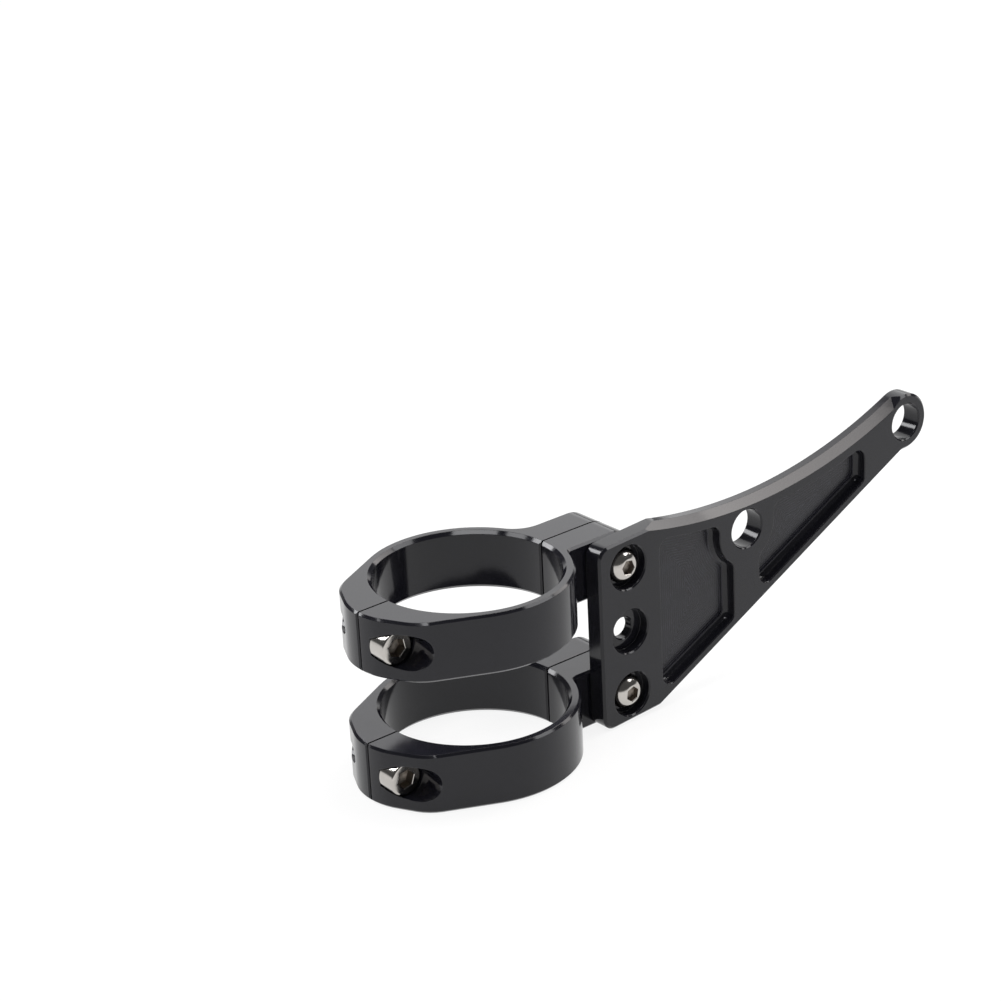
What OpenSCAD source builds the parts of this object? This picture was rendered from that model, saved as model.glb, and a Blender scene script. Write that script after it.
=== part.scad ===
// Headlight mounting bracket for a motorcycle fork: a milled arm plate carried by
// two split clamps, one above the other on the same fork leg. Right-hand bracket.
// X runs along the arm towards the lamp, Y through the thickness of the arm with the
// outer face at -Y, Z up along the fork. The origin is on the fork's axis, half way
// up the lower clamp. Millimetres.

/* [Fork and clamps] */
// Diameter of the fork leg and of the bore that grips it
bore_d = 54; // [35:0.5:60]
// Height of each clamp along the fork
clamp_h = 18; // [12:0.5:30]
// Distance between the middles of the two clamps
clamp_pitch = 40.4; // [30:0.1:80]
// Wall of the ring between bore and outside
ring_wall = 3.5; // [2.5:0.1:8]
// Break along the ends of the bore
bore_break = 1; // [0.2:0.1:2]
// Break along the outer rims of the clamps
rim_break = 0.7; // [0.2:0.1:1.5]

/* [Split and nose] */
// Width of the saw cut between the two halves
split_gap = 0.6; // [0.3:0.1:3]
// Break along the saw cut, where it meets the bore and the nose
split_break = 0.45; // [0.1:0.05:1]
// Metal outside the bore at the tip of the nose
nose_wall = 11.7; // [9:0.1:16]
// Radius of the blunt tip of the nose
nose_tip_r = 20; // [8:0.5:25]
// Radius of the two shoulders of the nose
nose_shoulder_r = 14; // [6:0.5:20]
// Half the spacing of the two shoulders
nose_shoulder_y = 7.6; // [2:0.1:12]

/* [Ears] */
// Thickness of the ear that carries the plate
near_ear_t = 10; // [6:0.5:16]
// Thickness of the ear that is tapped for the plate screw
far_ear_t = 10.5; // [6:0.5:16]
// Distance from the fork's axis to the line of plate screws
ear_reach = 45.6; // [40:0.1:70]
// Hollow fillet between the ring and the tapped ear
far_fillet_r = 9; // [1:0.5:15]
// Hollow fillet between the ring and the ear under the plate
near_fillet_r = 2; // [0.5:0.25:5]

/* [Plate outline] */
// Thickness of the arm plate
plate_t = 6.5; // [4:0.5:12]
// From the line of screws back to the rear edge
plate_back = 11; // [8:0.5:16]
// Radius of the two rear corners
plate_corner_r = 4; // [1:0.5:8]
// Slope of the short upper edge, in degrees
top_slope = 3; // [0:0.5:10]
// Slope of the short lower edge, in degrees
foot_slope = 3.5; // [0:0.5:10]
// From the line of screws to the end of the short upper edge
top_end = 12.3; // [9:0.1:30]
// From the line of screws to the end of the short lower edge
foot_end = 11; // [9:0.1:30]
// Radius of the long hollow upper edge
sweep_r = 162.5; // [120:0.5:260]
// Break along the outer and inner edges of the plate
plate_break = 0.7; // [0.2:0.05:1.2]

/* [Lamp eye] */
// From the line of screws to the middle of the eye
eye_x = 115; // [90:0.5:160]
// Height of the eye above the lower screw
eye_z = 51.8; // [40:0.1:70]
// Outer radius of the eye
eye_r = 8.9; // [7.5:0.1:12]
// Bore of the eye
eye_bore_d = 11.5; // [6:0.1:13]
// Fillet between the lower edge and the eye
eye_fillet_r = 4; // [1:0.5:10]
// Where the lower edge runs in below the middle of the eye
neck_drop = 8.2; // [5:0.1:8.8]

/* [Bevel] */
// Depth of the wide bevel along the hollow edge, through the thickness
bevel_t = 3.25; // [1:0.05:5]
// Width of the bevel, across the face
bevel_w = 1.75; // [0.5:0.05:4]
// From the middle of the eye back to the end of the bevel
bevel_stop = 5.3; // [2:0.1:20]
// Direction in which the bevel runs out on the face
runout_turn = 40; // [25:1:60]
// Lean of the run-out facet
runout_lean = 14.5; // [5:0.5:40]

/* [Holes in the plate] */
// Counterbore round the plate screws
counterbore_d = 13.4; // [11.5:0.1:16]
// Depth of that counterbore
counterbore_t = 3.2; // [2:0.1:4]
// Clearance hole for the plate screws
screw_hole_d = 6.6; // [6.3:0.1:7.5]
// Break round the mouths of the holes
hole_break = 0.4; // [0.1:0.05:0.8]
// Bore for an indicator stem, in the middle of the arm
stem_bore_d = 12; // [8:0.1:16]
// From the line of screws to that bore
stem_x = 47.1; // [30:0.1:80]
// Height of that bore above the lower screw
stem_z = 37.6; // [25:0.1:60]

/* [Pockets] */
// Depth of the two milled pockets
pocket_t = 3.8; // [1:0.1:5]
// Fillet between the floor and the walls of the pockets
pocket_floor_r = 1.8; // [0.5:0.1:2.5]
// Radius of the pockets' corners, seen from the front
pocket_corner_r = 3.2; // [2.6:0.1:6]
// Land between the hollow upper edge and the pockets
pocket_top_land = 4.7; // [3:0.1:8]
// Rib between the lower edge and the pockets
pocket_foot_rib = 2.8; // [1.5:0.1:6]
// From the line of screws to the first pocket
pocket_1_start = 12.2; // [10:0.1:16]
// Where the first pocket ends
pocket_1_end = 41.4; // [30:0.1:60]
// Where the second pocket starts
pocket_2_start = 52; // [40:0.1:80]
// Where the second pocket ends
pocket_2_end = 97; // [85:0.1:140]
// Radius of the boss left standing round the stem bore
stem_boss_r = 11.1; // [8:0.1:14]
// Break along the rims of the pockets
pocket_break = 0.25; // [0.1:0.05:0.6]

/* [Screws] */
// Thread diameter of all four screws
thread_d = 6; // [5:0.5:6]
// Gap between a screw and its tapped hole
thread_gap = 0.05; // [0.02:0.01:0.2]
// Length of a plate screw below its button head
plate_screw_l = 28.5; // [20:0.5:45]
// Diameter of the button head
button_d = 10.5; // [9:0.1:12]
// Height of the button head
button_h = 3.3; // [2.5:0.1:4]
// Width of its hexagon socket
button_key = 4; // [3:0.5:5]
// Length of a pinch screw below its head
pinch_screw_l = 12; // [10:0.5:25]
// Diameter of the pinch screw's head
cap_d = 10; // [8.5:0.1:11]
// Height of the pinch screw's head
cap_h = 6; // [4:0.5:8]
// Width of its hexagon socket
cap_key = 5; // [4:0.5:6]
// Metal between the split and the seat of the pinch screw
pinch_seat = 4.4; // [3:0.1:8]
// Room round the head of the pinch screw
cap_room = 0.3; // [0.1:0.05:1]
// From the fork's bore to the axis of the pinch screw
pinch_offset = 6.5; // [5:0.1:9]

/* [Hidden] */
$fn = 96;
metal = [0.12, 0.12, 0.13];
steel = [0.78, 0.77, 0.75];
bore_r = bore_d / 2;
ring_r = bore_r + ring_wall;
nose_x = bore_r + nose_wall;
pinch_x = bore_r + pinch_offset;
half_h = clamp_h / 2;
plate_y = -near_ear_t;
grip = plate_t - counterbore_t;
// width of the bar that carries the plate's broken edges, well inside its smallest round
rim_w = 0.75 * plate_corner_r;
// the two short edges, as straight lines in the plate's own X and Z
foot_z = function(x) -half_h + (x + plate_back) * tan(foot_slope);
top_z = function(x) clamp_pitch + half_h + (x + plate_back) * tan(top_slope) - 0.5;
// the long lower edge, from the end of the foot to a point below the eye
edge_turn = atan2(eye_z - neck_drop - foot_z(foot_end), eye_x - foot_end);
edge_z = function(x) foot_z(foot_end) + (x - foot_end) * tan(edge_turn);
eye_c = [eye_x, eye_z];
top_v = [top_end, top_z(top_end)];
// middle of the long hollow upper edge, which leaves the short edge and flows into the eye
sweep_gap = norm(eye_c - top_v);
sweep_in = (pow(sweep_gap, 2) + pow(sweep_r, 2) - pow(sweep_r + eye_r, 2)) / (2 * sweep_gap);
sweep_c = top_v + (sweep_in * (eye_c - top_v)
    + sqrt(pow(sweep_r, 2) - pow(sweep_in, 2)) * [top_v[1] - eye_c[1], eye_c[0] - top_v[0]])
    / sweep_gap;
// middle of the hollow fillet between the lower edge and the eye
fillet_gap = neck_drop * cos(edge_turn) + eye_fillet_r;
fillet_c = eye_c - sqrt(pow(eye_r + eye_fillet_r, 2) - pow(fillet_gap, 2))
    * [cos(edge_turn), sin(edge_turn)] + fillet_gap * [sin(edge_turn), -cos(edge_turn)];

// A disc with both rims broken, standing on z = 0
module broken_disc(r, h, c, fn) {
    cylinder(r = r - c, h = h, $fn = fn);
    translate([0, 0, c]) cylinder(r = r, h = h - 2 * c, $fn = fn);
}

// A bore with a countersunk break at each end, from z = 0 to z = h
module broken_bore(r, h, c) {
    translate([0, 0, -1]) cylinder(r = r, h = h + 2);
    translate([0, 0, -1]) cylinder(r1 = r + c + 1, r2 = r, h = c + 1);
    translate([0, 0, h - c]) cylinder(r1 = r, r2 = r + c + 1, h = c + 1);
}

// The closed outline of ring and nose, before it is bored and sawn
module clamp_blank() {
    hull() {
        broken_disc(ring_r, clamp_h, rim_break, 96);
        translate([-(nose_x - nose_tip_r), 0, 0])
            broken_disc(nose_tip_r, clamp_h, rim_break, 64);
        for (s = [-1, 1])
            translate([-(nose_x - nose_tip_r) - 2.9, s * nose_shoulder_y, 0])
                broken_disc(nose_shoulder_r, clamp_h, rim_break, 48);
    }
}

// One ear, reaching out from the ring on the +Y side, with a round end
module ear(t) {
    module slice(grow, depth)
        rotate([-90, 0, 0]) linear_extrude(depth) {
            translate([ear_reach, -half_h]) circle(r = half_h + grow, $fn = 64);
            translate([bore_r - 4, -half_h - (half_h + grow)])
                square([ear_reach - bore_r + 4, 2 * (half_h + grow)]);
        }
    hull() {
        slice(0, t - rim_break);
        slice(-rim_break, t);
    }
}

// Hollow fillet between the ring and the flank of an ear of thickness t
module ear_fillet(t, r) {
    fx = sqrt(pow(ring_r + r, 2) - pow(t + r, 2));
    k = ring_r / (ring_r + r);
    difference() {
        linear_extrude(clamp_h)
            polygon([[bore_r - 4, 1], [fx, 1], [fx, t],
                     [fx * k, (t + r) * k], [(bore_r + 1) * fx / (ring_r + r),
                                            (bore_r + 1) * (t + r) / (ring_r + r)]]);
        translate([fx, t + r, 0]) broken_bore(r, clamp_h, rim_break);
    }
}

// One half of a clamp, on the +Y side of the saw cut, with its ear
module clamp_half(t, fillet) {
    difference() {
        union() {
            intersection() {
                clamp_blank();
                translate([-100, 0, -1]) cube([200, 100, clamp_h + 2]);
            }
            ear(t);
            ear_fillet(t, fillet);
        }
        broken_bore(bore_r, clamp_h, bore_break);
        translate([-100, -50, -1]) cube([200, 50 + split_gap / 2, clamp_h + 2]);
        for (x = [-nose_x, -bore_r, bore_r])
            translate([x, split_gap / 2, half_h]) rotate([0, 0, 45])
                cube([split_break * sqrt(2), split_break * sqrt(2), clamp_h + 2], center = true);
    }
}

module cross_hole(x, d, y0, y1)
    translate([x, y0, half_h]) rotate([-90, 0, 0]) cylinder(d = d, h = y1 - y0);

// The half that the plate is screwed against, on the -Y side
module clamp_base() {
    color(metal) translate([0, 0, -half_h]) difference() {
        mirror([0, 1, 0]) clamp_half(near_ear_t, near_fillet_r);
        cross_hole(ear_reach, screw_hole_d, -near_ear_t - 1, 1);
        cross_hole(-pinch_x, screw_hole_d, -pinch_seat - 1, 1);
        cross_hole(-pinch_x, cap_d + 2 * cap_room, -ring_r - 5, -pinch_seat);
    }
}

// The half on the far side, tapped for the plate screw and the pinch screw
module clamp_cap() {
    color(metal) translate([0, 0, -half_h]) difference() {
        clamp_half(far_ear_t, far_fillet_r);
        cross_hole(ear_reach, thread_d + 2 * thread_gap, -1, far_ear_t + 1);
        cross_hole(-pinch_x, thread_d + 2 * thread_gap, -1, ring_r + 5);
    }
}

// Hexagon socket, sunk from z = 0
module hex_socket(key, depth)
    translate([0, 0, -depth]) cylinder(d = key / cos(30), h = depth + 1, $fn = 6);

// Shank of length l below z = 0, with a broken tip
module shank(l) {
    translate([0, 0, -l + 0.8]) cylinder(d = thread_d, h = l - 0.8);
    translate([0, 0, -l]) cylinder(d1 = thread_d - 1.4, d2 = thread_d, h = 0.8);
}

// Button-head screw, its seat on z = 0
module plate_screw() {
    dome_top = button_d * 0.28;
    color(steel) difference() {
        union() {
            shank(plate_screw_l);
            rotate_extrude()
                polygon(concat([[0, 0], [button_d / 2, 0], [button_d / 2, 0.35]],
                    [for (a = [10:10:90]) [dome_top + (button_d / 2 - dome_top) * cos(a),
                                           0.35 + (button_h - 0.35) * sin(a)]],
                    [[0, button_h]]));
        }
        translate([0, 0, button_h]) hex_socket(button_key, 2);
    }
}

// Cap screw, its seat on z = 0
module pinch_screw() {
    color(steel) difference() {
        union() {
            shank(pinch_screw_l);
            cylinder(d = cap_d, h = cap_h - 0.6);
            translate([0, 0, cap_h - 0.6]) cylinder(d1 = cap_d, d2 = cap_d - 1.2, h = 0.6);
        }
        translate([0, 0, cap_h]) hex_socket(cap_key, 3);
    }
}

// Middles of the two rear rounds
low_c = [plate_corner_r - plate_back,
         foot_z(plate_corner_r - plate_back) + plate_corner_r / cos(foot_slope)];
high_c = [plate_corner_r - plate_back,
          top_z(plate_corner_r - plate_back) - plate_corner_r / cos(top_slope)];

// A round with middle c and radius r, walked from angle a0 to a1 in n steps, from step k on
function round_pts(c, r, a0, a1, n, k = 0) =
    [for (i = [k:n]) let (a = a0 + (a1 - a0) * i / n) c + r * [cos(a), sin(a)]];

// Corner where two straight edges of slope a and b meet at v, moved in by d
function corner_pt(v, a, b, d) =
    let (m = [-sin(a), cos(a)], n = [-sin(b), cos(b)]) v + d * (m + n) / (1 + m * n);

// End of the short upper edge, where the hollow edge starts, moved in by d
function top_pt(d) =
    let (u = [cos(top_slope), sin(top_slope)],
         w = top_v + d * [sin(top_slope), -cos(top_slope)] - sweep_c,
         k = w * u)
    sweep_c + w + u * (-k - sqrt(k * k - w * w + pow(sweep_r + d, 2)));

function angle_of(v) = atan2(v[1], v[0]);

// Outline of the plate, every edge moved in by d
function outline(d) = concat(
    round_pts(low_c, plate_corner_r - d, 180, 270 + foot_slope, 6),
    [corner_pt([foot_end, foot_z(foot_end)], foot_slope, edge_turn, d)],
    round_pts(fillet_c, eye_fillet_r + d, edge_turn + 90, angle_of(eye_c - fillet_c), 5),
    round_pts(eye_c, eye_r - d, angle_of(fillet_c - eye_c), angle_of(sweep_c - eye_c), 36, 1),
    round_pts(sweep_c, sweep_r + d, angle_of(eye_c - sweep_c),
              angle_of(top_pt(d) - sweep_c), 40, 1),
    round_pts(high_c, plate_corner_r - d, 90 + top_slope, 180, 6));

// A pocket's outline is a ring of rounded corners with a wall from each one to the next.
// A wall is either straight, given by the direction it faces, or hollow, given as a
// circle that stands in the pocket's way: [middle, radius].
stem_c = [stem_x, stem_z];
boss = [stem_c, stem_boss_r];
land = [sweep_c, sweep_r + pocket_top_land];
function facing(wall, c) = is_num(wall) ? wall : angle_of(wall[0] - c);

// Points of a round, the shorter way from direction a to b, leaving off k at each end
function short_round(c, r, a, b, n, k = 0) =
    let (turn = (b - a + 540) % 360 - 180)
    [for (i = [k:n - k]) c + r * [cos(a + turn * i / n), sin(a + turn * i / n)]];

// Middles of the corners: on the lower wall, under a circle, and between the two circles
function low_corner(x) = [x, edge_z(x) + (pocket_foot_rib + pocket_corner_r) / cos(edge_turn)];
function under(circle, x) = [x, circle[0][1]
    - sqrt(pow(circle[1] + pocket_corner_r, 2) - pow(x - circle[0][0], 2))];
function between(side) =
    let (v = boss[0] - land[0], g = norm(v), r = land[1] + pocket_corner_r,
         k = (g * g + r * r - pow(boss[1] + pocket_corner_r, 2)) / (2 * g))
    land[0] + (k * v + side * sqrt(r * r - k * k) * [-v[1], v[0]]) / g;

// Outline of a pocket, every wall moved in by d
function pocket_pts(corners, walls, d) =
    let (n = len(corners))
    [for (i = [0:n - 1])
        let (c = corners[i], e = corners[(i + 1) % n], w = walls[i])
        each concat(
            short_round(c, pocket_corner_r - d, facing(walls[(i + n - 1) % n], c), facing(w, c), 6),
            is_num(w) ? [] : short_round(w[0], w[1] + d, angle_of(c - w[0]),
                                         angle_of(e - w[0]), 10, 1))];

// Solid between rings of points: each ring is an outline at its own height
module ringed_solid(outlines, heights) {
    n = len(outlines[0]);
    m = len(heights);
    polyhedron(
        [for (k = [0:m - 1]) for (p = outlines[k]) [p[0], p[1], heights[k]]],
        concat([[for (i = [0:n - 1]) i], [for (i = [n - 1:-1:0]) (m - 1) * n + i]],
               [for (k = [0:m - 2]) for (i = [0:n - 1])
                [k * n + i, (k + 1) * n + i, (k + 1) * n + (i + 1) % n, k * n + (i + 1) % n]]),
        convexity = 6);
}

// The plate's blank: a plain core, and a rim round it whose edges are broken
module plate_blank() {
    c = plate_break;
    linear_extrude(plate_t) polygon(outline(2 * rim_w / 3));
    rim([[c, 0], [0, c], [0, plate_t - c], [c, plate_t], [rim_w, plate_t], [rim_w, 0]]);
}

// Closed bar that follows the outline; each edge of it is [how far in, how high]
module rim(edges) {
    n = len(outline(0));
    m = len(edges);
    polyhedron([for (e = edges) for (p = outline(e[0])) [p[0], p[1], e[1]]],
               [for (k = [0:m - 1]) for (i = [0:n - 1]) let (j = (i + 1) % n, l = (k + 1) % m)
                [k * n + i, l * n + i, l * n + j, k * n + j]],
               convexity = 6);
}

// A pocket as a cutter: a flat floor, a fillet all round, upright walls and a broken rim
module pocket(corners, walls) {
    rows = concat([for (a = [0:22.5:90]) [pocket_floor_r * (1 - sin(a)),
                                          plate_t - pocket_t + pocket_floor_r * (1 - cos(a))]],
                  [[0, plate_t - pocket_break], [-pocket_break - 1, plate_t + 1]]);
    ringed_solid([for (g = rows) pocket_pts(corners, walls, g[0])], [for (g = rows) g[1]]);
}

// The pocket between the screws and the stem bore
module pocket_1() {
    x0 = pocket_1_start + pocket_corner_r;
    x1 = pocket_1_end - pocket_corner_r;
    pocket([low_corner(x0), low_corner(x1), under(boss, x1), between(-1), under(land, x0)],
           [270 + edge_turn, 0, boss, land, 180]);
}

// The pocket between the stem bore and the eye
module pocket_2() {
    x0 = pocket_2_start + pocket_corner_r;
    x1 = pocket_2_end - pocket_corner_r;
    pocket([low_corner(x0), low_corner(x1), under(land, x1), between(1), under(boss, x0)],
           [270 + edge_turn, 0, land, boss, 180]);
}

// A plate screw's hole with its counterbore, every mouth broken
module plate_screw_hole() {
    r = screw_hole_d / 2;
    s = counterbore_d / 2;
    c = hole_break;
    rotate_extrude()
        polygon([[0, -1], [r + c + 1, -1], [r, c], [r, grip - c], [r + c, grip], [s, grip],
                 [s, plate_t - c], [s + c + 1, plate_t + 1], [0, plate_t + 1]]);
}

// A plain bore through the plate, both mouths broken
module plate_bore(d) {
    r = d / 2;
    c = hole_break;
    rotate_extrude()
        polygon([[0, -1], [r + c + 1, -1], [r, c], [r, plate_t - c],
                 [r + c + 1, plate_t + 1], [0, plate_t + 1]]);
}

module arm_plate() {
    // the bevel is cut by a cone that starts a little below its own inner edge
    sink = 0.4;
    lean = bevel_w / bevel_t;
    stop_x = eye_x - bevel_stop;
    color(metal) translate([ear_reach, plate_y, 0]) rotate([90, 0, 0]) difference() {
        plate_blank();
        // wide bevel along the hollow edge, stopped by a leaning facet near the eye
        intersection() {
            translate([sweep_c[0], sweep_c[1], plate_t - bevel_t - sink])
                cylinder(r1 = sweep_r - lean * sink, r2 = sweep_r + bevel_w + lean,
                         h = bevel_t + sink + 1, $fn = 360);
            translate([stop_x, sweep_c[1] - sqrt(pow(sweep_r + bevel_w, 2)
                       - pow(stop_x - sweep_c[0], 2)), plate_t])
                rotate([0, 0, runout_turn]) rotate([runout_lean, 0, 0])
                    translate([-150, 0, -20]) cube([200, 150, 40]);
        }
        // three counterbored holes in line, the middle one left free
        for (z = [0, 0.5, 1] * clamp_pitch) translate([0, z, 0]) plate_screw_hole();
        translate([stem_x, stem_z, 0]) plate_bore(stem_bore_d);
        translate([eye_x, eye_z, 0]) plate_bore(eye_bore_d);
        pocket_1();
        pocket_2();
    }
}

module upper() translate([0, 0, clamp_pitch]) children();

module at_plate_screw() translate([ear_reach, plate_y - grip, 0]) rotate([90, 0, 0]) children();

module at_pinch_screw() translate([-pinch_x, -pinch_seat, 0]) rotate([90, 0, 0]) children();

arm_plate();
upper() clamp_base();  // upper_clamp_base
upper() clamp_cap();  // upper_clamp_cap
clamp_base();  // lower_clamp_base
clamp_cap();  // lower_clamp_cap
upper() at_plate_screw() plate_screw();  // upper_plate_screw
at_plate_screw() plate_screw();  // lower_plate_screw
upper() at_pinch_screw() pinch_screw();  // upper_pinch_screw
at_pinch_screw() pinch_screw();  // lower_pinch_screw
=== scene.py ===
import math

import bpy
import numpy as np
from mathutils import Matrix, Vector


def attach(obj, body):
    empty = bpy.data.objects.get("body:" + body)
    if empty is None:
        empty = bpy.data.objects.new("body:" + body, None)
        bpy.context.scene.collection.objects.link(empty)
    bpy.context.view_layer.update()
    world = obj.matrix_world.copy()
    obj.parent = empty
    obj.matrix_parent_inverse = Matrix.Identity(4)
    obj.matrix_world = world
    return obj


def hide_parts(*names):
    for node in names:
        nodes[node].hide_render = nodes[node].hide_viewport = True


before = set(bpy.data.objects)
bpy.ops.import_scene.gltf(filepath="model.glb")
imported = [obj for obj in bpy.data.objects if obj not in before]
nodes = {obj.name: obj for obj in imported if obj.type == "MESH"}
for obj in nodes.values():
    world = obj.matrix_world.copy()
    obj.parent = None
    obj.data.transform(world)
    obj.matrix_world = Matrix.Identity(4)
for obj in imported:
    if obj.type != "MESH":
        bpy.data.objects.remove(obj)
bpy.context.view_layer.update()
scene = bpy.context.scene
scene.view_settings.view_transform = "Standard"
mm = 0.001
print("bracket loaded:", ", ".join(sorted(nodes)))


# Camera: seen from the fork's side, a little above, along the pocketed outer face
cameraView = {
    "place": (-0.45894, -0.59198, 0.39027),  # metres
    "azimuth": -38.583,  # degrees, 0 looks along +Y
    "elevation": 23.151,
    "roll": -3.006,
    "lens": 105.784,  # millimetres, as is the sensor's width
    "sensor": 36.0,
    "clip": (0.01, 50),  # metres
}


# Looks along (-sin a cos e, cos a cos e, -sin e) for azimuth a and elevation e, and rolls
# about that line
def aimCamera(view):
    turn, tilt, roll = (math.radians(view[k]) for k in ("azimuth", "elevation", "roll"))
    look = Vector((-math.sin(turn) * math.cos(tilt), math.cos(turn) * math.cos(tilt),
                   -math.sin(tilt)))
    level = Vector((math.cos(turn), math.sin(turn), 0))
    up = level.cross(look)
    right = level * math.cos(roll) + up * math.sin(roll)
    top = up * math.cos(roll) - level * math.sin(roll)
    data = bpy.data.cameras.new("camera")
    data.lens, data.sensor_width = view["lens"], view["sensor"]
    data.clip_start, data.clip_end = view["clip"]
    camera = bpy.data.objects.new("camera", data)
    turned = Matrix((right, top, -look)).transposed().to_4x4()
    camera.matrix_world = Matrix.Translation(view["place"]) @ turned
    scene.collection.objects.link(camera)
    scene.camera = camera


aimCamera(cameraView)
print("camera placed")


# Node helpers. A value that is a socket gets linked and any other is set on the input;
# i0, i1 and so on name an input by its place
def addNode(tree, kind, settings=None, **values):
    node = tree.nodes.new(kind)
    for name, value in (settings or {}).items():
        setattr(node, name, value)
    for name, value in values.items():
        byPlace = name[0] == "i" and name[1:].isdigit()
        socket = node.inputs[int(name[1:]) if byPlace else name]
        if isinstance(value, bpy.types.NodeSocket):
            tree.links.new(value, socket)
        else:
            socket.default_value = value
    return node


# One Math node on a, b and c
def calc(tree, operation, a, b=0.0, c=0.0):
    return addNode(tree, "ShaderNodeMath", {"operation": operation}, i0=a, i1=b, i2=c).outputs[0]


# Root of a squared plus b squared
def lengthOf(tree, a, b):
    return calc(tree, "SQRT", calc(tree, "ADD", calc(tree, "MULTIPLY", a, a),
                                   calc(tree, "MULTIPLY", b, b)))


# X, Y and Z of a vector
def axesOf(tree, vector):
    return addNode(tree, "ShaderNodeSeparateXYZ", Vector=vector).outputs


# Millimetres along one axis from a given place: 1000 times the metres, less the place
def millimetresFrom(tree, axis, place):
    return calc(tree, "MULTIPLY_ADD", axis, 1 / mm, -place)


# 1 where the face looks along an axis, either way, by more than the limit, and 0 elsewhere
def looksAlong(tree, axis, limit):
    normal = addNode(tree, "ShaderNodeNewGeometry").outputs["Normal"]
    share = calc(tree, "ABSOLUTE", axesOf(tree, normal)[axis])
    return calc(tree, "GREATER_THAN", share, limit)


# A value carried from one range to another and held at its ends
def remap(tree, value, source, target, curve="LINEAR"):
    ends = {"From Min": source[0], "From Max": source[1], "To Min": target[0], "To Max": target[1]}
    return addNode(tree, "ShaderNodeMapRange", {"interpolation_type": curve},
                   Value=value, **ends).outputs[0]


# Noise from 0 to 1, with a scale per metre
def noise(tree, position, scale, detail, **values):
    return addNode(tree, "ShaderNodeTexNoise", Vector=position, Scale=scale,
                   Detail=detail, **values).outputs["Fac"]


# A colour times a number
def dimmed(tree, colour, factor):
    return addNode(tree, "ShaderNodeVectorMath", {"operation": "SCALE"},
                   i0=colour, Scale=factor).outputs[0]


# An empty group with inputs of label, kind and default, and outputs of label and kind
def newGroup(name, inputs, outputs):
    tree = bpy.data.node_groups.new(name, "ShaderNodeTree")
    for label, kind, default in inputs:
        socket = tree.interface.new_socket(label, in_out="INPUT", socket_type="NodeSocket" + kind)
        if default is not None:
            socket.default_value = default
    for label, kind in outputs:
        tree.interface.new_socket(label, in_out="OUTPUT", socket_type="NodeSocket" + kind)
    return tree, tree.nodes.new("NodeGroupInput").outputs, tree.nodes.new("NodeGroupOutput").inputs


# A group placed with its own values; an underscore stands for the space in a label
def useGroup(tree, group, **values):
    spaced = {name.replace("_", " "): value for name, value in values.items()}
    return addNode(tree, "ShaderNodeGroup", {"node_tree": group}, **spaced).outputs


# An empty material and its nodes
def newMaterial(name):
    material = bpy.data.materials.new(name)
    material.use_nodes = True
    material.node_tree.nodes.clear()
    return material, material.node_tree


# A shader sent to the output of a material or a world
def sendOut(tree, shader, kind="ShaderNodeOutputMaterial"):
    addNode(tree, kind, Surface=shader.outputs[0])


# Edge wear: how far the rounded normal leans from the true one, broken up by noise
wearLook = {"samples": 6, "gain": 9.0, "scale": 900.0, "detail": 4.0, "range": (0.35, 0.65)}


# Mask: gain times (1 - rounded normal . true normal), times noise from 1 - patchiness to 1
def buildEdgeWear(look):
    tree, given, out = newGroup("edgeWear", [
        ("Position", "Vector", None),
        ("Radius", "Float", 0.0002),
        ("Patchiness", "Float", 0.5),
    ], [("Mask", "Float"), ("Normal", "Vector")])
    rounded = addNode(tree, "ShaderNodeBevel", {"samples": look["samples"]},
                      Radius=given["Radius"]).outputs[0]
    true = addNode(tree, "ShaderNodeNewGeometry").outputs["Normal"]
    lean = addNode(tree, "ShaderNodeVectorMath", {"operation": "DOT_PRODUCT"}, i0=rounded, i1=true)
    edge = calc(tree, "MULTIPLY", calc(tree, "SUBTRACT", 1.0, lean.outputs["Value"]), look["gain"])
    least = calc(tree, "SUBTRACT", 1.0, given["Patchiness"])
    patch = noise(tree, given["Position"], look["scale"], look["detail"])
    keep = remap(tree, patch, look["range"], (least, 1.0))
    mask = addNode(tree, "ShaderNodeMath", {"operation": "MULTIPLY", "use_clamp": True},
                   i0=edge, i1=keep)
    tree.links.new(mask.outputs[0], out["Mask"])
    tree.links.new(rounded, out["Normal"])
    return tree


# Surface grain: fine blasting under the anodised layer, and slow patches in its tone
grainLook = {"fineDetail": 3.0, "slowDetail": 5.0, "slowRoughness": 0.6}


# Each noise has a scale of 1 / its size in metres
def buildGrain(look):
    tree, given, out = newGroup("blastedGrain", [
        ("Position", "Vector", None),
        ("Grain Size", "Float", 0.00012),
        ("Patch Size", "Float", 0.02),
    ], [("Fine", "Float"), ("Patch", "Float")])
    fineScale = calc(tree, "DIVIDE", 1.0, given["Grain Size"])
    slowScale = calc(tree, "DIVIDE", 1.0, given["Patch Size"])
    fine = noise(tree, given["Position"], fineScale, look["fineDetail"])
    slow = noise(tree, given["Position"], slowScale, look["slowDetail"],
                 Roughness=look["slowRoughness"])
    tree.links.new(fine, out["Fine"])
    tree.links.new(slow, out["Patch"])
    return tree


# Cutter lines: one ridge per step-over along any distance in millimetres, of uneven depth
cutterLook = {"sharpness": 2.0, "scale": 260.0, "detail": 2.0}


# Height: |2 fraction(distance / step) - 1| to the sharpness, times noise
def buildCutterLines(look):
    tree, given, out = newGroup("cutterLines", [
        ("Position", "Vector", None),
        ("Distance", "Float", 0.0),
        ("Step", "Float", 1.0),
    ], [("Height", "Float")])
    share = calc(tree, "FRACT", calc(tree, "DIVIDE", given["Distance"], given["Step"]))
    wave = calc(tree, "ABSOLUTE", calc(tree, "MULTIPLY_ADD", share, 2.0, -1.0))
    ridge = calc(tree, "POWER", wave, look["sharpness"])
    uneven = noise(tree, given["Position"], look["scale"], look["detail"])
    tree.links.new(calc(tree, "MULTIPLY", ridge, uneven), out["Height"])
    return tree


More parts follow.
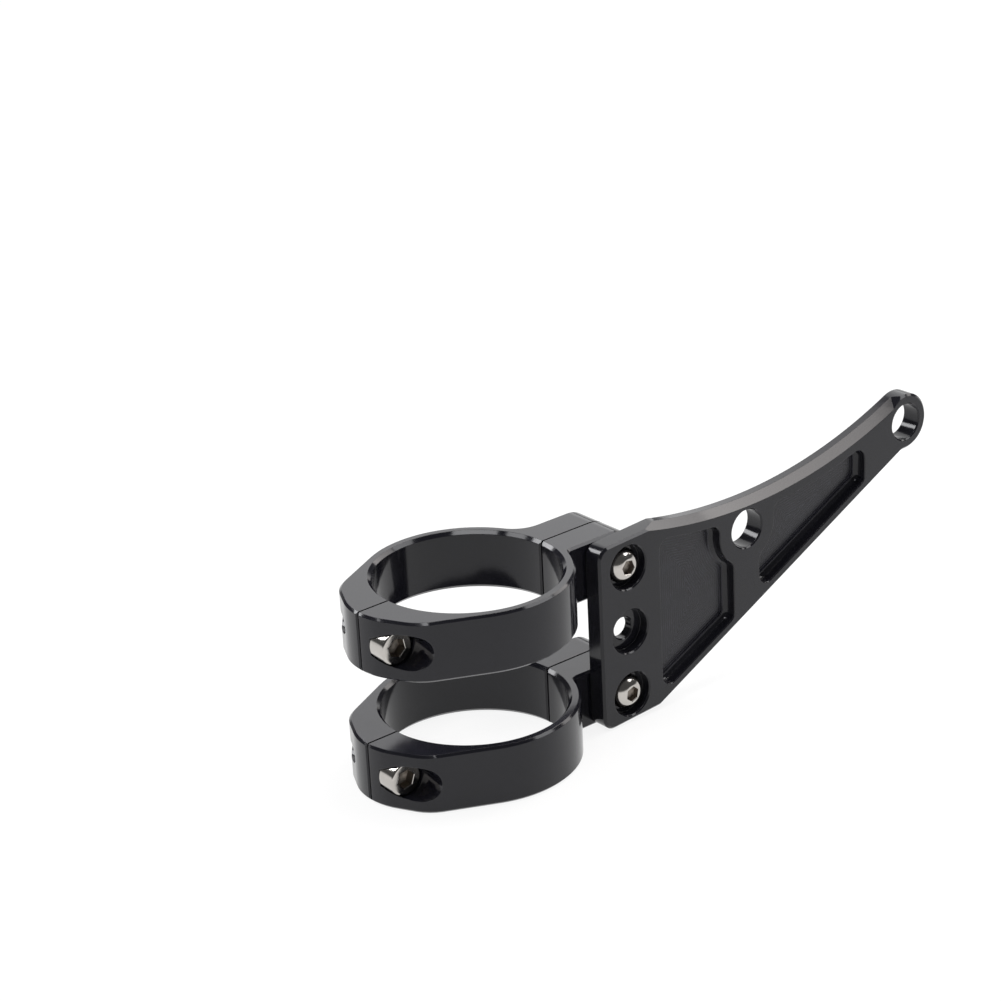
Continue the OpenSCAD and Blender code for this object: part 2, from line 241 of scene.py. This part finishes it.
edgeWear = buildEdgeWear(wearLook)
blastedGrain = buildGrain(grainLook)
cutterLines = buildCutterLines(cutterLook)

# The arm plate's pockets, as the mill saw them; millimetres in the plate's own X and Z
pocketPath = {
    "screwLine": 45.6,
    "floor": -12.7,
    "sweep": (46.1, 208.9, 167.2),  # middle and radius of the hollow upper wall
    "boss": (47.1, 37.6, 11.1),  # middle and radius of the wall round the stem bore
    "starts": (12.2, 52.0),  # walls nearest the screws, one for each pocket
    "ends": (41.4, 97.0),  # walls nearest the lamp
    "edgeSlope": 26.22,  # degrees
    "edgeFoot": (11.0, -7.65),  # where the plate's lower edge begins
    "rib": 2.8,  # what stands along that edge
    "corner": 1.5,  # rounding of the lines where two walls are as near
    "reach": 0.25,  # how near to the floor's height a face counts as floor
    "limit": 0.9,  # how squarely it looks outwards
    "step": 0.8,
    "depth": 0.000010,  # metres
    "tint": 1.0,
    "rougher": 0.13,
}


# Distance in from the nearest pocket wall, which is what the end mill followed, and 1 on the
# floors. The walls are two uprights, a line at the edge's slope, and two circles
def pocketDistance(tree, position, path):
    axes = axesOf(tree, position)
    x = millimetresFrom(tree, axes["X"], path["screwLine"])
    z = millimetresFrom(tree, axes["Z"], 0.0)

    def fromCircle(circle):
        dx, dz = calc(tree, "SUBTRACT", x, circle[0]), calc(tree, "SUBTRACT", z, circle[1])
        return calc(tree, "SUBTRACT", lengthOf(tree, dx, dz), circle[2])

    second = calc(tree, "GREATER_THAN", x, path["boss"][0])
    startGap, endGap = (b - a for a, b in (path["starts"], path["ends"]))
    fromStart = calc(tree, "SUBTRACT", calc(tree, "SUBTRACT", x, path["starts"][0]),
                     calc(tree, "MULTIPLY", second, startGap))
    fromEnd = calc(tree, "ADD", calc(tree, "SUBTRACT", path["ends"][0], x),
                   calc(tree, "MULTIPLY", second, endGap))
    slope = math.radians(path["edgeSlope"])
    along, above = (calc(tree, "SUBTRACT", place, foot)
                    for place, foot in zip((x, z), path["edgeFoot"]))
    fromEdge = calc(tree, "SUBTRACT", calc(tree, "MULTIPLY", above, math.cos(slope)),
                    calc(tree, "MULTIPLY", along, math.sin(slope)))
    fromRib = calc(tree, "SUBTRACT", fromEdge, path["rib"])
    nearest = fromStart
    for other in (fromEnd, fromRib, fromCircle(path["sweep"]), fromCircle(path["boss"])):
        nearest = calc(tree, "SMOOTH_MIN", nearest, other, path["corner"])
    height = calc(tree, "ABSOLUTE", millimetresFrom(tree, axes["Y"], path["floor"]))
    onFloor = calc(tree, "MULTIPLY", calc(tree, "LESS_THAN", height, path["reach"]),
                   looksAlong(tree, "Y", path["limit"]))
    return nearest, onFloor


# The clamps' faces: the middle of the facing cutter's sweep, in millimetres
facingMarks = {
    "upper": {"middle": (-75.0, -60.0), "step": 0.9, "depth": 0.000002, "tint": 0.3,
              "rougher": 0.0, "limit": 0.98},
    "lower": {"middle": (-52.0, -4.0), "step": 0.55, "depth": 0.000009, "tint": 1.3,
              "rougher": 0.0, "limit": 0.98},
}


# Distance from the middle of the cutter's sweep, and 1 on the faces that look up or down
def facingDistance(tree, position, facing):
    axes = axesOf(tree, position)
    dx = millimetresFrom(tree, axes["X"], facing["middle"][0])
    dy = millimetresFrom(tree, axes["Y"], facing["middle"][1])
    return lengthOf(tree, dx, dy), looksAlong(tree, "Z", facing["limit"])


anodisedLook = {
    "plate": {"colour": (0.0086, 0.0086, 0.0116), "worn": (0.05, 0.049, 0.048),
              "roughness": 0.11, "markTint": 3.2},
    "clamp": {"colour": (0.0082, 0.0082, 0.0114), "worn": (0.045, 0.045, 0.047),
              "roughness": 0.10, "markTint": 2.2},
    "patchRange": (0.3, 0.7),
    "patchTones": (0.88, 1.12),
    "edge": 0.00022,  # metres
    "wornShare": 0.6,
    "uneven": 0.05,  # roughness that the fine and the slow grain each spread
    "grainDepth": 0.0000006,  # metres
    "sheen": 0.05,
    "index": 1.42,
}


# Colour: the tone times its patches, mixed with the worn colour on the edges, then times
# 1 + tint x marks. Height: the fine grain and the marks, each times its depth
def anodisedMaterial(name, look, distanceOf, cut):
    shared = anodisedLook
    material, tree = newMaterial(name)
    position = addNode(tree, "ShaderNodeTexCoord").outputs["Object"]
    grain = useGroup(tree, blastedGrain, Position=position)
    wear = useGroup(tree, edgeWear, Position=position, Radius=shared["edge"])
    tone = remap(tree, grain["Patch"], shared["patchRange"], shared["patchTones"])
    worn = addNode(tree, "ShaderNodeMix", {"data_type": "RGBA"},
                   i0=calc(tree, "MULTIPLY", wear["Mask"], shared["wornShare"]),
                   i6=dimmed(tree, look["colour"], tone), i7=(*look["worn"], 1))
    distance, mask = distanceOf(tree, position, cut)
    lines = useGroup(tree, cutterLines, Position=position, Distance=distance, Step=cut["step"])
    marks = calc(tree, "MULTIPLY", calc(tree, "MULTIPLY", lines["Height"], mask), cut["tint"])
    colour = dimmed(tree, worn.outputs[2], calc(tree, "MULTIPLY_ADD", marks, look["markTint"], 1.0))
    rough = look["roughness"] - shared["uneven"]
    for part in (grain["Fine"], grain["Patch"]):
        rough = calc(tree, "MULTIPLY_ADD", part, shared["uneven"], rough)
    rough = calc(tree, "MULTIPLY_ADD", mask, cut["rougher"], rough)
    height = calc(tree, "MULTIPLY", grain["Fine"], shared["grainDepth"])
    height = calc(tree, "ADD", height, calc(tree, "MULTIPLY", marks, cut["depth"]))
    bump = addNode(tree, "ShaderNodeBump", Height=height, Distance=1.0, Normal=wear["Normal"])
    shader = addNode(tree, "ShaderNodeBsdfPrincipled", Roughness=rough, Normal=bump.outputs[0],
                     IOR=shared["index"], Metallic=shared["sheen"], **{"Base Color": colour})
    sendOut(tree, shader)
    return material


steelLook = {"colour": (0.56, 0.535, 0.505), "roughness": 0.15}
# The socket steel is darker than the head's: painted shade inside the hex socket recess
socketShadeLook = {"colour": (0.34, 0.305, 0.268), "roughness": 0.38}
steelGrain = {
    "size": 0.0002,  # metres, as are the patch, the edge and the depth
    "patch": 0.004,
    "edge": 0.00012,
    "depth": 0.000001,
    "patchiness": 0.2,
    "shade": 0.8,
    "uneven": 0.08,
}


# Colour: from the tone to its shade by the slow grain. Roughness and height: the fine grain
def steelMaterial(name, look, finish):
    material, tree = newMaterial(name)
    position = addNode(tree, "ShaderNodeTexCoord").outputs["Object"]
    grain = useGroup(tree, blastedGrain, Position=position, Grain_Size=finish["size"],
                     Patch_Size=finish["patch"])
    wear = useGroup(tree, edgeWear, Position=position, Radius=finish["edge"],
                    Patchiness=finish["patchiness"])
    shaded = [finish["shade"] * part for part in look["colour"]]
    tone = addNode(tree, "ShaderNodeMix", {"data_type": "RGBA"}, i0=grain["Patch"],
                   i6=(*look["colour"], 1), i7=(*shaded, 1))
    rough = calc(tree, "MULTIPLY_ADD", grain["Fine"], finish["uneven"],
                 look["roughness"] - finish["uneven"] / 2)
    height = calc(tree, "MULTIPLY", grain["Fine"], finish["depth"])
    bump = addNode(tree, "ShaderNodeBump", Height=height, Distance=1.0, Normal=wear["Normal"])
    shader = addNode(tree, "ShaderNodeBsdfPrincipled", Roughness=rough, Normal=bump.outputs[0],
                     Metallic=1.0, **{"Base Color": tone.outputs[2]})
    sendOut(tree, shader)
    return material


plateMetal = anodisedMaterial("anodisedPlate", anodisedLook["plate"], pocketDistance, pocketPath)
clampMetals = {
    "upper": anodisedMaterial("anodisedUpperClamp", anodisedLook["clamp"],
                              facingDistance, facingMarks["upper"]),
    "lower": anodisedMaterial("anodisedLowerClamp", anodisedLook["clamp"],
                              facingDistance, facingMarks["lower"]),
}
steel = steelMaterial("polishedSteel", steelLook, steelGrain)
# A darker copy of the steel that paints shade into the screws' socket recesses
shadedSocketSteel = steelMaterial("shadedSocketSteel", socketShadeLook, steelGrain)
print("materials built")


# Milled faces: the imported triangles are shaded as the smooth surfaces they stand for
smoothing = {
    "angle": 19.0,  # degrees; an edge is smooth below it
    "filletStep": 22.5,  # degrees, one step of the pockets' floor fillets, smooth as well
    "spread": 0.35,  # degrees, either side of that step
    "merge": 0.000002,  # metres
    "flatWeight": 90,
}


# Loose triangles are joined, every face is smooth, and an edge stays so where
# angle < limit or |angle - fillet step| < spread
def buildSmoothing(values):
    tree = bpy.data.node_groups.new("smoothMilledFaces", "GeometryNodeTree")
    for side in ("INPUT", "OUTPUT"):
        tree.interface.new_socket("Geometry", in_out=side, socket_type="NodeSocketGeometry")
    given = tree.nodes.new("NodeGroupInput").outputs[0]
    plain = addNode(tree, "GeometryNodeRemoveAttribute", Geometry=given, Name="custom_normal")
    merged = addNode(tree, "GeometryNodeMergeByDistance", Geometry=plain.outputs[0],
                     Distance=values["merge"])
    rounded = addNode(tree, "GeometryNodeSetShadeSmooth", {"domain": "FACE"},
                      Geometry=merged.outputs[0])
    angle = addNode(tree, "GeometryNodeInputMeshEdgeAngle").outputs["Unsigned Angle"]
    small = addNode(tree, "FunctionNodeCompare", {"data_type": "FLOAT", "operation": "LESS_THAN"},
                    i0=angle, i1=math.radians(values["angle"]))
    fillet = addNode(tree, "FunctionNodeCompare", {"data_type": "FLOAT", "operation": "EQUAL"},
                     i0=angle, i1=math.radians(values["filletStep"]),
                     Epsilon=math.radians(values["spread"]))
    either = addNode(tree, "FunctionNodeBooleanMath", {"operation": "OR"},
                     i0=small.outputs[0], i1=fillet.outputs[0])
    creased = addNode(tree, "GeometryNodeSetShadeSmooth", {"domain": "EDGE"},
                      Geometry=rounded.outputs[0], **{"Shade Smooth": either.outputs[0]})
    addNode(tree, "NodeGroupOutput", i0=creased.outputs[0])
    return tree


smoothMilledFaces = buildSmoothing(smoothing)


# One finish, smooth edges, and normals that lean towards the larger faces
def dressMilled(node, material):
    node.data.materials.clear()
    node.data.materials.append(material)
    node.modifiers.new("smoothMilledFaces", "NODES").node_group = smoothMilledFaces
    weighted = node.modifiers.new("flatFacesFirst", "WEIGHTED_NORMAL")
    weighted.keep_sharp = True
    weighted.weight = smoothing["flatWeight"]


dressMilled(nodes["arm_plate"], plateMetal)
for level, metal in clampMetals.items():
    for half in ("base", "cap"):
        dressMilled(nodes[f"{level}_clamp_{half}"], metal)
print("plate and clamps dressed")


# Screws: one grid each, rows down the profile and columns round the axis. A row is a circle,
# a hexagon, or a thread whose radius follows a pointed helix. Millimetres throughout
plateScrew = {
    "head": 10.5, "headHeight": 3.3, "domed": True,
    "flat": 2.62,  # radius where the dome begins
    "dome": (20.0, 75.0),  # degrees, its slope from there to the edge
    "key": 4.0, "socket": 2.0,
    "thread": 6.0, "pitch": 1.0, "length": 28.5, "threaded": 14.0,
}
pinchScrew = {
    "head": 10.0, "headHeight": 6.0, "domed": False,
    "band": 3.0,  # height of a row half way up the side
    "key": 5.0, "socket": 3.0,
    "thread": 6.0, "pitch": 1.0, "length": 12.0, "threaded": 9.0,
}
screwPlaces = {
    "plate": {"x": 45.6, "y": -13.3, "turn": {"lower": 0.85, "upper": 0.35}},  # turn in radians
    "pinch": {"x": -33.5, "y": -4.4, "turn": {"lower": 0.7, "upper": 0.2}},
    "heights": {"lower": 0.0, "upper": 40.4},
}
socketCut = {
    "drilled": ((0.0, 0.5), (0.55, 0.22), (0.98, 0.0)),  # share of the key, depth below the floor
    "root": 0.02,  # height of the walls' foot above the floor
    "wall": 0.5,  # depths of the upper rows below the head's top
    "broken": 0.16,
    "lip": 0.01,
    "wider": 0.14,  # how far the broken mouth opens beyond the key
    "rim": 0.06,
    "rings": 4,  # rings of faces that get the darker socket steel, painted shade in the recess, up to the broken mouth
}
headCut = {
    "domeRows": 22, "domeFoot": 0.12, "domeUnder": 0.1,  # button head
    "round": 0.6, "roundRows": 7, "flatEdge": 0.02, "foot": 0.25, "under": 0.2,  # cap head
}
shankCut = {
    "neck": 0.25,  # how far the shank flares under the head
    "neckLength": 0.3,
    "plainUnder": 0.02,  # how much thinner the plain part is than the thread
    "rowsPerPitch": 12,
    "depth": 0.56,  # of the pitch
    "gain": 1.25,  # the saw wave's steepness, and the share that stays flat on the crests
    "crest": 0.12,
    "fadeIn": 1.2,  # lengths at the thread's start and end
    "runOut": 0.45,
    "tip": 0.75,  # how much smaller the cone is at the tip
    "tipEdge": 0.02,
    "tipFlat": 0.8,
}
screwMesh = {"columns": 96, "crease": 32.0}  # crease in degrees


# Rows of the socket: a drilled cone, six walls of the key's width, and a broken mouth
def socketRows(size):
    top, key, cut = size["headHeight"], size["key"] / 2, socketCut
    floor = top - size["socket"]
    mouth = (key + cut["wider"]) / math.cos(math.pi / 6) + cut["rim"]
    rows = [("circle", share * key, floor - depth) for share, depth in cut["drilled"]]
    rows += [("hexagon", key, floor + cut["root"]), ("hexagon", key, top - cut["wall"]),
             ("hexagon", key, top - cut["broken"]),
             ("hexagon", key + cut["wider"], top - cut["lip"]), ("circle", mouth, top)]
    return rows


# Rows of the head: radius flat + r (sin a - sin first), height top - r (cos first - cos a)
# over a dome, or a quarter round at the edge of a cylinder
def headRows(size):
    top, half, cut = size["headHeight"], size["head"] / 2, headCut
    if size["domed"]:
        first, last = (math.radians(a) for a in size["dome"])
        reach = (half - size["flat"]) / (math.sin(last) - math.sin(first))
        rows = [("circle", size["flat"] + reach * (math.sin(a) - math.sin(first)),
                 top - reach * (math.cos(first) - math.cos(a)))
                for a in np.linspace(first, last, cut["domeRows"])]
        return rows + [("circle", half, cut["domeFoot"]), ("circle", half - cut["domeUnder"], 0.0)]
    bend = cut["round"]
    rows = [("circle", half - bend - cut["flatEdge"], top)]
    rows += [("circle", half - bend + bend * math.cos(a), top - bend + bend * math.sin(a))
             for a in np.linspace(math.pi / 2, 0, cut["roundRows"])]
    return rows + [("circle", half, size["band"]), ("circle", half, cut["foot"]),
                   ("circle", half - cut["under"], 0.0)]


# Rows of the shank: a necked start, a plain part, equal steps down the thread, and the tip
def shankRows(size):
    shank, length, cut = size["thread"] / 2, size["length"], shankCut
    plain, start = shank - cut["plainUnder"], size["threaded"] - length
    rows = [("circle", shank + cut["neck"], 0.0), ("circle", plain, -cut["neckLength"]),
            ("circle", plain, start)]
    step = size["pitch"] / cut["rowsPerPitch"]
    rows += [("thread", shank, height)
             for height in np.arange(start - step, cut["runOut"] - length, -step)]
    return rows + [("circle", shank - cut["tip"], cut["tipEdge"] - length),
                   ("circle", shank - cut["tipFlat"], -length), ("circle", 0.0, -length)]


# Radius over height and angle: the radius itself for a circle, key / cos(angle within its
# sixth) for a hexagon, and for the thread the shank less a depth that follows the saw wave of
# height / pitch - angle / turn, faded in at its start and capped by a cone at the tip
def screwGrid(size):
    rows, columns = socketRows(size) + headRows(size) + shankRows(size), screwMesh["columns"]
    angle = np.linspace(0, 2 * np.pi, columns, endpoint=False)
    kind = np.array([r[0] for r in rows])[:, None]
    radius = np.array([r[1] for r in rows])[:, None] * np.ones(columns)
    height = np.array([r[2] for r in rows])[:, None] * np.ones(columns)
    sixth = (angle + np.pi / 6) % (np.pi / 3) - np.pi / 6
    radius = np.where(kind == "hexagon", radius / np.cos(sixth), radius)
    saw = np.abs(2 * ((height / size["pitch"] - angle / (2 * np.pi)) % 1.0) - 1)
    depth = shankCut["depth"] * size["pitch"]
    depth = depth * np.clip(shankCut["gain"] * saw - shankCut["crest"], 0, 1)
    start = size["threaded"] - size["length"]
    fadeIn = np.clip((start - height) / shankCut["fadeIn"], 0, 1)
    shank = size["thread"] / 2
    cone = np.minimum(shank, shank - shankCut["tip"] + height + size["length"])
    radius = np.where(kind == "thread", np.minimum(radius - depth * fadeIn, cone), radius)
    return radius, height, angle


# Points: place + radius (cos, sin) of the turned angle, and the height along -Y. The rows'
# rings are quads, and the first and last rows close to one point each
def buildScrew(name, size, place, turn, z, finish, shadedSocketFinish):
    radius, height, angle = screwGrid(size)
    rows, columns = radius.shape
    x = place["x"] + radius * np.cos(angle + turn)
    y = place["y"] - height
    up = z + radius * np.sin(angle + turn)
    rings = np.stack([x, y, up], -1)[1:-1].reshape(-1, 3)
    ends = np.array([[place["x"], y[0, 0], z], [place["x"], y[-1, 0], z]])
    points = np.concatenate([rings, ends]) * mm
    inner = rows - 2
    column = np.arange(columns)
    following = (column + 1) % columns
    here = (np.arange(inner - 1) * columns)[:, None]
    quads = np.stack([here + column, here + columns + column, here + columns + following,
                      here + following], -1).reshape(-1, 4)
    last = (inner - 1) * columns
    topFan = np.stack([np.full(columns, inner * columns), column, following], -1)
    tipFan = np.stack([np.full(columns, inner * columns + 1), last + following, last + column], -1)
    mesh = bpy.data.meshes.new(name)
    mesh.from_pydata(points.tolist(), [], quads.tolist() + topFan.tolist() + tipFan.tolist())
    mesh.materials.append(finish)
    mesh.materials.append(shadedSocketFinish)
    # The socket's cone, walls and bottom get the darker steel, painted shade in the recess
    shadedSocketFaces = np.zeros(len(mesh.polygons), np.int32)
    shadedSocketFaces[:socketCut["rings"] * columns] = 1
    shadedSocketFaces[len(quads):len(quads) + columns] = 1
    mesh.polygons.foreach_set("material_index", shadedSocketFaces)
    mesh.polygons.foreach_set("use_smooth", np.ones(len(mesh.polygons), bool))
    mesh.set_sharp_from_angle(angle=math.radians(screwMesh["crease"]))
    mesh.update()
    screw = bpy.data.objects.new(name, mesh)
    scene.collection.objects.link(screw)
    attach(screw, "root")
    return screw


for level, z in screwPlaces["heights"].items():
    for role, size in (("plate", plateScrew), ("pinch", pinchScrew)):
        place = screwPlaces[role]
        screw = buildScrew(f"{level}_{role}_screw_threaded", size, place, place["turn"][level], z,
                           steel, shadedSocketSteel)
        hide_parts(f"{level}_{role}_screw")
print("screws cut and threaded")


# 1 for the rays that see the background: from the camera, off gloss and through glass
def seeingRays(tree):
    path = addNode(tree, "ShaderNodeLightPath").outputs
    return calc(tree, "MAXIMUM", path["Is Camera Ray"],
                calc(tree, "MAXIMUM", path["Is Glossy Ray"], path["Is Transmission Ray"]))


# Floor: height in millimetres, half its width in metres
floorLook = {"height": -9.0, "half": 4.0, "colour": (0.92, 0.92, 0.92), "glow": 0.86}


# A square at one height. Seen, it is part matt and part plain white, so a shadow stays on it
def buildFloor(look):
    half, z = look["half"], look["height"] * mm
    corners = [(-half, -half, z), (half, -half, z), (half, half, z), (-half, half, z)]
    mesh = bpy.data.meshes.new("floor")
    mesh.from_pydata(corners, [], [(0, 1, 2, 3)])
    material, tree = newMaterial("paleFloor")
    plain = addNode(tree, "ShaderNodeBsdfDiffuse", Color=(*look["colour"], 1))
    white = addNode(tree, "ShaderNodeEmission", Color=(1, 1, 1, 1), Strength=1.0)
    mixed = addNode(tree, "ShaderNodeMixShader", i1=plain.outputs[0], i2=white.outputs[0],
                    i0=calc(tree, "MULTIPLY", seeingRays(tree), look["glow"]))
    sendOut(tree, mixed)
    mesh.materials.append(material)
    floor = bpy.data.objects.new("floor", mesh)
    scene.collection.objects.link(floor)


# World: white up to just above the horizon and a dim room over it, and a plain fill light
worldLook = {
    "fill": 0.32,
    "background": 1.0,
    "ceiling": 0.09,
    "rise": (0.03, 0.16),  # heights of a direction, 0 level and 1 straight up
}


# Strength: the fill, or for the rays that see it a smooth step from background to ceiling
def buildWorld(look):
    world = bpy.data.worlds.new("studio")
    world.use_nodes = True
    scene.world = world
    tree = world.node_tree
    tree.nodes.clear()
    height = axesOf(tree, addNode(tree, "ShaderNodeTexCoord").outputs["Generated"])["Z"]
    room = remap(tree, height, look["rise"], (look["background"], look["ceiling"]), "SMOOTHSTEP")
    strength = addNode(tree, "ShaderNodeMix", {"data_type": "FLOAT"}, i0=seeingRays(tree),
                       i2=look["fill"], i3=room)
    sky = addNode(tree, "ShaderNodeBackground", Color=(1, 1, 1, 1), Strength=strength.outputs[0])
    sendOut(tree, sky, "ShaderNodeOutputWorld")


# Soft boxes: the direction each lies in from the bracket, its distance and size in metres,
# and how bright its face is
lamps = {
    "strip": {"toward": (0.39, 0.01, 0.92), "distance": 0.85, "size": (0.28, 0.76), "glow": 6.3,
              "tint": (1.0, 0.96, 0.935)},
    "side": {"toward": (0.837, -0.05, 0.543), "distance": 0.85, "size": (0.42, 0.30), "glow": 4.2,
             "tint": (1.0, 0.965, 0.945)},
    "front": {"toward": (0.55, -0.41, 0.72), "distance": 0.85, "size": (0.36, 0.26), "glow": 4.4,
              "tint": (0.99, 0.99, 1.0)},
    "nose": {"toward": (-0.34, -0.16, 0.925), "distance": 0.85, "size": (0.48, 0.20), "glow": 7.0,
             "tint": (0.98, 0.985, 1.0)},
    "bridge": {"toward": (-0.52, 0.33, 0.79), "distance": 0.85, "size": (0.24, 0.16),
               "glow": 6.0, "tint": (0.98, 0.985, 1.0)},
    "back": {"toward": (-0.36, 0.72, 0.57), "distance": 0.95, "size": (0.42, 0.26), "glow": 11.0,
             "tint": (0.98, 0.985, 1.0)},
    "window": {"toward": (0.50, 0.71, 0.49), "distance": 1.1, "size": (1.3, 0.74), "glow": 1.6,
               "tint": (1.0, 1.0, 1.0)},
}
lampAim = (0.05, 0.0, 0.02)


# A lamp's power is the brightness of its face times pi times its area
def buildLamp(name, look):
    data = bpy.data.lights.new(name, "AREA")
    data.shape = "RECTANGLE"
    data.size, data.size_y = look["size"]
    data.energy = look["glow"] * math.pi * data.size * data.size_y
    data.color = look["tint"]
    toward = Vector(look["toward"]).normalized()
    lamp = bpy.data.objects.new(name, data)
    lamp.location = Vector(lampAim) + toward * look["distance"]
    lamp.rotation_euler = (-toward).to_track_quat("-Z", "Y").to_euler()
    scene.collection.objects.link(lamp)


buildFloor(floorLook)
buildWorld(worldLook)
for name, look in lamps.items():
    buildLamp(name, look)
print("floor, world and lamps placed")
